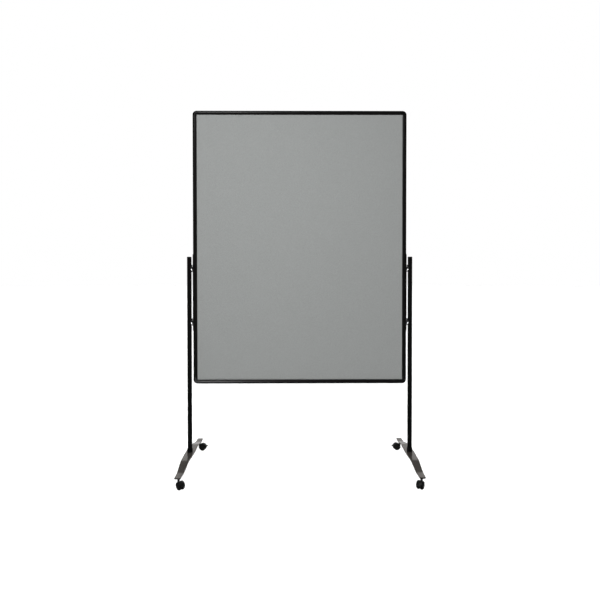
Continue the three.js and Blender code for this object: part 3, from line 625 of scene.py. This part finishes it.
def post(side):
    """Round tube with its outer end edges broken."""
    node = f"post_{side}"
    bottom, top, outer = upright_span(node)
    inner = outer - 2 * MM
    edge = 0.4 * MM
    pairs = [(inner, bottom), (outer - edge, bottom), (outer, bottom + edge),
             (outer, top - edge), (outer - edge, top), (inner, top)]
    finish_piece(f"{node}_tube", turn(pairs, upright_place(node)), node)


def post_cap(side):
    """End cap: a low crowned head and a plain plug inside the tube."""
    node = f"post_cap_{side}"
    bottom, top, outer = upright_span(node)
    plug, plug_point, plug_lead = outer - 2.3 * MM, 1 * MM, 2 * MM
    head_base = top - 4 * MM
    head_edge, rounding = 0.3 * MM, 2.4 * MM
    crown = 0.35 * MM
    pairs = [(0, bottom), (plug - plug_point, bottom), (plug, bottom + plug_lead), (plug, head_base),
             (outer - head_edge, head_base), (outer, head_base + head_edge)]
    pairs += arc((outer - rounding, top - rounding - crown), (rounding, rounding), 0, 80, 8)
    pairs += [(outer * 0.5, top - crown * 0.35), (0, top)]
    finish_piece(f"{node}_plug", turn(pairs, upright_place(node)), node)


def post_socket(side):
    """Collar with a slightly wider base and a rounded rim, on a spigot inside the tube."""
    node = f"post_socket_{side}"
    base, top, widest = upright_span(node)
    collar = widest - 1 * MM
    rim = base + 22 * MM
    bore, spigot, hole = 12.8 * MM, 10.2 * MM, 4.3 * MM
    floor = base + 4.7 * MM
    base_edge, base_height = 0.4 * MM, 1.4 * MM
    flare_end, flare_rise = base + 3.4 * MM, 1.8 * MM
    rim_edge = 0.9 * MM
    pairs = [(hole, base), (widest - base_edge, base), (widest, base + base_edge),
             (widest, base + base_height)]
    pairs += arc((widest, flare_end), (widest - collar, flare_rise), 265, 185, 6)
    pairs += arc((collar - rim_edge, rim - rim_edge), (rim_edge, rim_edge), 0, 90, 6)
    pairs += [(bore, rim), (bore, floor), (spigot, floor), (spigot, top), (hole, top)]
    finish_piece(f"{node}_collar", turn(pairs, upright_place(node)), node)


FOOT_THICKNESS = 6 * MM
FOOT_TIP_HALF_WIDTH = 16 * MM
FOOT_TAPER = 0.0365  # half width gained for each metre towards the middle
FOOT_WAIST = 60 * MM  # within this distance of the middle the taper fades out
FOOT_MIDDLE_FLAT = 136 * MM  # the raised flat ends here, measured from the middle
FOOT_TIP_FLAT = 238 * MM  # the low flat starts here
FOOT_BEND_RADIUS = 90 * MM
FOOT_BEND_STEPS = 6
FOOT_MIDDLE_STEPS = 7
FOOT_EDGE_RADIUS = 2.2 * MM
FOOT_TIP_RADIUS = 5 * MM
FOOT_TIP_THINNING = 0.8 * MM  # off each face, over the last 30 degrees of the tip's rounding


def foot_section(half_width, half_thickness):
    """Rounded bar section as (across, up) points."""
    radius = min(FOOT_EDGE_RADIUS, half_thickness * 0.9)
    a, b = half_width - radius, half_thickness - radius
    corners = ((a, b, 0), (-a, b, 90), (-a, -b, 180), (a, -b, 270))
    return [point for x, z, start in corners
            for point in arc((x, z), (radius, radius), start, start + 90, 6)]


def foot(side):
    """Arched flat bar, wide at the post and narrow at the tips, with all its edges rounded."""
    node = f"foot_{side}"
    low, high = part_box(node)
    centre = middle(node)
    half_length = (high[1] - low[1]) / 2
    low_z = low[2] + FOOT_THICKNESS / 2
    rise = high[2] - low[2] - FOOT_THICKNESS
    slope = math.atan2(rise, FOOT_TIP_FLAT - FOOT_MIDDLE_FLAT)
    reach = FOOT_BEND_RADIUS * math.tan(slope / 2)

    def half_width(y):
        tapered = FOOT_TIP_HALF_WIDTH + FOOT_TAPER * (half_length - y)
        return tapered - FOOT_TAPER * max(0.0, FOOT_WAIST - y) ** 2 / (2 * FOOT_WAIST)

    def ring(y, z, angle, width, half_thickness=FOOT_THICKNESS / 2):
        return [(centre.x + across, y + up * math.sin(angle), z + up * math.cos(angle))
                for across, up in foot_section(width, half_thickness)]

    raised_z = low_z + rise
    stations = [(FOOT_MIDDLE_FLAT * i / FOOT_MIDDLE_STEPS, raised_z, 0.0)
                for i in range(FOOT_MIDDLE_STEPS)]
    bend = [slope * i / FOOT_BEND_STEPS for i in range(FOOT_BEND_STEPS + 1)]
    for angle in bend:
        along = FOOT_MIDDLE_FLAT - reach + FOOT_BEND_RADIUS * math.sin(angle)
        stations.append((along, raised_z - FOOT_BEND_RADIUS * (1 - math.cos(angle)), angle))
    for angle in reversed(bend):
        along = FOOT_TIP_FLAT + reach - FOOT_BEND_RADIUS * math.sin(angle)
        stations.append((along, low_z + FOOT_BEND_RADIUS * (1 - math.cos(angle)), angle))
    for share in (0.3, 0.6, 0.85):
        stations.append((FOOT_TIP_FLAT + (half_length - FOOT_TIP_FLAT) * share, low_z, 0.0))
    rings = [ring(y, z, angle, half_width(y)) for y, z, angle in stations]
    for degrees in range(0, 90, 10):
        turned = math.radians(degrees)
        y = half_length - FOOT_TIP_RADIUS + FOOT_TIP_RADIUS * math.sin(turned)
        width = half_width(y) - FOOT_TIP_RADIUS * (1 - math.cos(turned))
        thinning = FOOT_TIP_THINNING * max(0, degrees - 60) / 30
        rings.append(ring(y, low_z, 0.0, width, FOOT_THICKNESS / 2 - thinning))
    mirrored = [[(x, -y, z) for x, y, z in one] for one in reversed(rings[1:])]
    finish_piece(f"{node}_bar", loft(mirrored + rings), node, smooth_degrees=45)


def foot_bolt(side):
    """Button-head bolt under the foot with a plain round socket in its head."""
    node = f"foot_bolt_{side}"
    bottom, top, head = upright_span(node)
    shank, shank_edge = 4 * MM, 0.6 * MM
    under_head = bottom + 4.5 * MM
    rounding = 2.2 * MM
    socket, socket_floor = 2.9 * MM, bottom + 2.6 * MM
    pairs = [(0, socket_floor), (socket, socket_floor), (socket, bottom)]
    pairs += arc((head - rounding, bottom + rounding), (rounding, rounding), -90, 0, 6)
    pairs += [(head, under_head), (shank, under_head), (shank, top - shank_edge),
              (shank - shank_edge, top), (0, top)]
    bolt = turn(pairs, upright_place(node), SEGMENTS_BOLT)
    finish_piece(f"{node}_button", bolt, node)


for side in SIDES:
    post(side)
    post_cap(side)
    post_socket(side)
    foot(side)
    foot_bolt(side)


# ---------------------------------------------------------------- castors

def castor_wheel(name, letter):
    """One smooth wheel of a pair: rounded tread, a sunk ring and a domed hub cap.

    The wall of the bore, which the axle fills, is left open.
    """
    node = f"castor_wheel_{name}_{letter}"
    joint = JOINTS[f"roll_{name}_{letter}"]
    centre = Vector(joint["pos_m"])
    outward = Vector(joint["axis"]).normalized() * (1 if letter == "b" else -1)
    low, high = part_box(node)
    rim = (high[2] - low[2]) / 2
    width, dome = 12.5 * MM, 1.2 * MM
    inner, outer = -width / 2, width / 2
    bore, bore_end = 2.04 * MM, inner + 9.4 * MM
    inner_flat, inner_step, inner_edge = rim - 3.8 * MM, 0.4 * MM, 1.2 * MM
    tread = 8 * MM  # radius of the rounding from the tread to the outer face
    hub = rim - tread
    ring_outer, ring_inner, ring_floor = hub + 0.3 * MM, hub - 0.1 * MM, outer - 0.6 * MM
    cap = hub - 0.6 * MM
    pairs = [(bore, inner), (inner_flat, inner), (inner_flat + inner_step, inner + inner_step)]
    pairs += arc((rim - inner_edge, inner + inner_edge), (inner_edge, inner_edge), 270, 360, 5)
    pairs += arc((hub, outer - tread), (tread, tread), 0, 84, 14)
    pairs += [(ring_outer + 0.2 * MM, outer - 0.1 * MM), (ring_outer, ring_floor),
              (ring_inner, ring_floor), (ring_inner - 0.2 * MM, outer)]
    pairs += [(cap * (1 - t), outer + dome * (0.3 + 0.7 * math.sin(math.pi / 2 * t)))
              for t in (0.0, 0.12, 0.3, 0.55)]
    pairs += [(0, outer + dome), (0, bore_end), (bore, bore_end)]
    turn_to = outward.to_track_quat("Z", "Y").to_matrix().to_4x4()
    wheel = turn(pairs, Matrix.Translation(centre) @ turn_to, SEGMENTS_WHEEL)
    finish_piece(f"{node}_tyre", wheel, node)


def castor_stem(name):
    """Blackened stem: a collar under the foot, the thread above it and the pintle in the hood."""
    node = f"castor_stem_{name}"
    bottom, top, _ = upright_span(node)
    pintle, pintle_lead = 3 * MM, 0.5 * MM
    collar, collar_height, edge = 6.6 * MM, 2.4 * MM, 0.4 * MM
    thread, thread_length = 3.9 * MM, 4.4 * MM
    collar_top = top - thread_length
    collar_base = collar_top - collar_height
    pairs = [(0, bottom), (pintle - edge, bottom), (pintle, bottom + pintle_lead),
             (pintle, collar_base), (collar - edge, collar_base), (collar, collar_base + edge),
             (collar, collar_top - edge), (collar - edge, collar_top), (thread, collar_top),
             (thread, top), (0, top)]
    stem = turn(pairs, upright_place(node), SEGMENTS_BOLT)
    finish_piece(f"{node}_turned", stem, node)


for castor in CASTORS:
    castor_wheel(castor, "a")
    castor_wheel(castor, "b")
    castor_stem(castor)
    refined(f"castor_hood_{castor}", 0.35 * MM)
    refined(f"castor_pedal_{castor}", 0.3 * MM)

# The board core and the axles are shown as the CAD made them.
for node, piece in frame["nodes"].items():
    if piece.hide_render:
        continue
    piece.data.materials.clear()
    piece.data.materials.append(MATERIALS[SLOT_OF[node]])


# ---------------------------------------------------------------- studio

FLOOR_RADIUS = 40.0
FLOOR_GAP = 0.4 * MM  # the floor lies this far under the wheels, so that the faces don't coincide


def pale_floor():
    """A large pale sheet of studio floor under the castors, kept out of reflections."""
    mesh = bpy.data.meshes.new("studio_floor")
    bm = bmesh.new()
    bmesh.ops.create_circle(bm, cap_ends=True, radius=FLOOR_RADIUS, segments=96)
    bm.to_mesh(mesh)
    bm.free()
    floor = bpy.data.objects.new("studio_floor", mesh)
    bpy.context.scene.collection.objects.link(floor)
    floor.location.z = -FLOOR_GAP
    floor.visible_glossy = False
    m = Nodes("studio_floor_white")
    m.set(Base_Color=(0.97, 0.97, 0.97, 1.0), Roughness=0.7, Specular_IOR_Level=0.2)
    mesh.materials.append(m.material)


def soft_light(name, place, aim, size, watts):
    """A rectangular light that points from its place at the aim."""
    light = bpy.data.lights.new(name, "AREA")
    light.shape = "RECTANGLE"
    light.size, light.size_y = size
    light.energy = watts
    lamp = bpy.data.objects.new(name, light)
    lamp.location = place
    lamp.rotation_euler = (Vector(aim) - Vector(place)).to_track_quat("-Z", "Y").to_euler()
    lamp.visible_camera = False
    bpy.context.scene.collection.objects.link(lamp)
    return lamp


def light_only(lamp, name_starts):
    """Keeps a light off everything but the pieces whose names start like this."""
    receivers = bpy.data.collections.new(f"{lamp.name}_receivers")
    for piece in bpy.context.scene.objects:
        if piece.name.startswith(name_starts) and not piece.hide_render:
            receivers.objects.link(piece)
    lamp.light_linking.receiver_collection = receivers


def broad_light(name, spread_degrees, strength):
    """Even light from straight above that casts no shadow and is kept out of reflections."""
    light = bpy.data.lights.new(name, "SUN")
    light.angle = math.radians(spread_degrees)
    light.energy = strength
    light.use_shadow = False
    lamp = bpy.data.objects.new(name, light)
    lamp.location = (0.0, 0.0, 5.0)
    lamp.visible_glossy = False
    bpy.context.scene.collection.objects.link(lamp)


SWEEP_GREYS = (  # (how steeply the direction rises, grey) of the sweep behind the wall
    (0.0, 0.45), (0.03, 1.05), (0.1, 1.0), (0.32, 0.5), (0.6, 0.16), (1.0, 0.2),
)
SWEEP_STARTS, SWEEP_FULL = 0.5, 0.85  # how far a direction has to point backwards
ROOM_GREY = 0.04


def white_room():
    """White where the camera sees it. What the object reflects is a white sweep behind it, bright
    near the floor and dim overhead, and a dim studio in front."""
    world = bpy.data.worlds.new("white_room")
    bpy.context.scene.world = world
    world.use_nodes = True
    tree = world.node_tree

    def add(kind, **values):
        node = tree.nodes.new(kind)
        for name, value in values.items():
            node.inputs[name].default_value = value
        return node

    split = add("ShaderNodeSeparateXYZ")
    tree.links.new(add("ShaderNodeTexCoord").outputs["Generated"], split.inputs["Vector"])
    sweep = add("ShaderNodeValToRGB")
    while len(sweep.color_ramp.elements) < len(SWEEP_GREYS):
        sweep.color_ramp.elements.new(0.5)
    for element, (height, grey) in zip(sweep.color_ramp.elements, SWEEP_GREYS):
        element.position = height
        element.color = (grey, grey, grey, 1.0)
    tree.links.new(split.outputs["Z"], sweep.inputs["Fac"])
    behind = add("ShaderNodeMapRange", **{"From Min": SWEEP_STARTS, "From Max": SWEEP_FULL})
    tree.links.new(split.outputs["Y"], behind.inputs["Value"])
    around = add("ShaderNodeMix")
    around.data_type = "RGBA"
    around.inputs[COLOUR_A].default_value = (ROOM_GREY, ROOM_GREY, ROOM_GREY, 1.0)
    tree.links.new(behind.outputs["Result"], around.inputs["Factor"])
    tree.links.new(sweep.outputs["Color"], around.inputs[COLOUR_B])
    background = tree.nodes["Background"]
    tree.links.new(around.outputs[COLOUR_RESULT], background.inputs["Color"])
    plain = add("ShaderNodeBackground", Color=(1.0, 1.0, 1.0, 1.0), Strength=1.0)
    choose = add("ShaderNodeMixShader")  # its sockets 1 and 2 are the two shaders
    tree.links.new(add("ShaderNodeLightPath").outputs["Is Camera Ray"], choose.inputs["Fac"])
    tree.links.new(background.outputs["Background"], choose.inputs[1])
    tree.links.new(plain.outputs["Background"], choose.inputs[2])
    tree.links.new(choose.outputs["Shader"], tree.nodes["World Output"].inputs["Surface"])


def camera():
    """View from straight in front, 1.1 m above the floor and a little left of the middle."""
    data = bpy.data.cameras.new("camera")
    data.sensor_width = 36.0
    data.lens = 30.6
    data.shift_x = -0.0012
    data.shift_y = -0.0332
    eye = bpy.data.objects.new("camera", data)
    eye.location = (-0.0128, -2.857, 1.097)
    pitch_down, yaw_right, roll = 0.0154, 0.0063, 0.0007
    eye.rotation_euler = (math.pi / 2 - pitch_down, roll, -yaw_right)
    bpy.context.scene.collection.objects.link(eye)
    bpy.context.scene.camera = eye


pale_floor()
white_room()
camera()
BOARD_AIM = (0.0, 0.0, 1.2)
key = soft_light("key_left", place=(-0.48, -2.3, 2.1), aim=BOARD_AIM, size=(0.7, 0.7), watts=52.5)
key.visible_glossy = False

# Three lights are seen in reflections only. The high one draws the line along the top rail, and
# the other two are kept to the bottom rail with its corners and to the domed washers.
high_sheen = soft_light("high_sheen", place=(-0.95, -2.9, 3.5), aim=BOARD_AIM, size=(0.6, 0.4),
                        watts=50)
low_sheen = soft_light("low_sheen", place=(-1.05, -2.9, 0.1), aim=BOARD_AIM, size=(0.5, 0.3),
                       watts=60)
dome_sheen = soft_light("dome_sheen", place=(0.0, -3.0, 0.02), aim=(0.0, -2.99, 1.2),
                        size=(8.0, 6.0), watts=420)
for sheen in (high_sheen, low_sheen, dome_sheen):
    sheen.visible_diffuse = False
light_only(low_sheen, ("rail_bottom", "corner_bottom"))
light_only(dome_sheen, "stud_dome")
broad_light("overhead", spread_degrees=45, strength=3.8)
bpy.context.scene.view_settings.view_transform = "Standard"
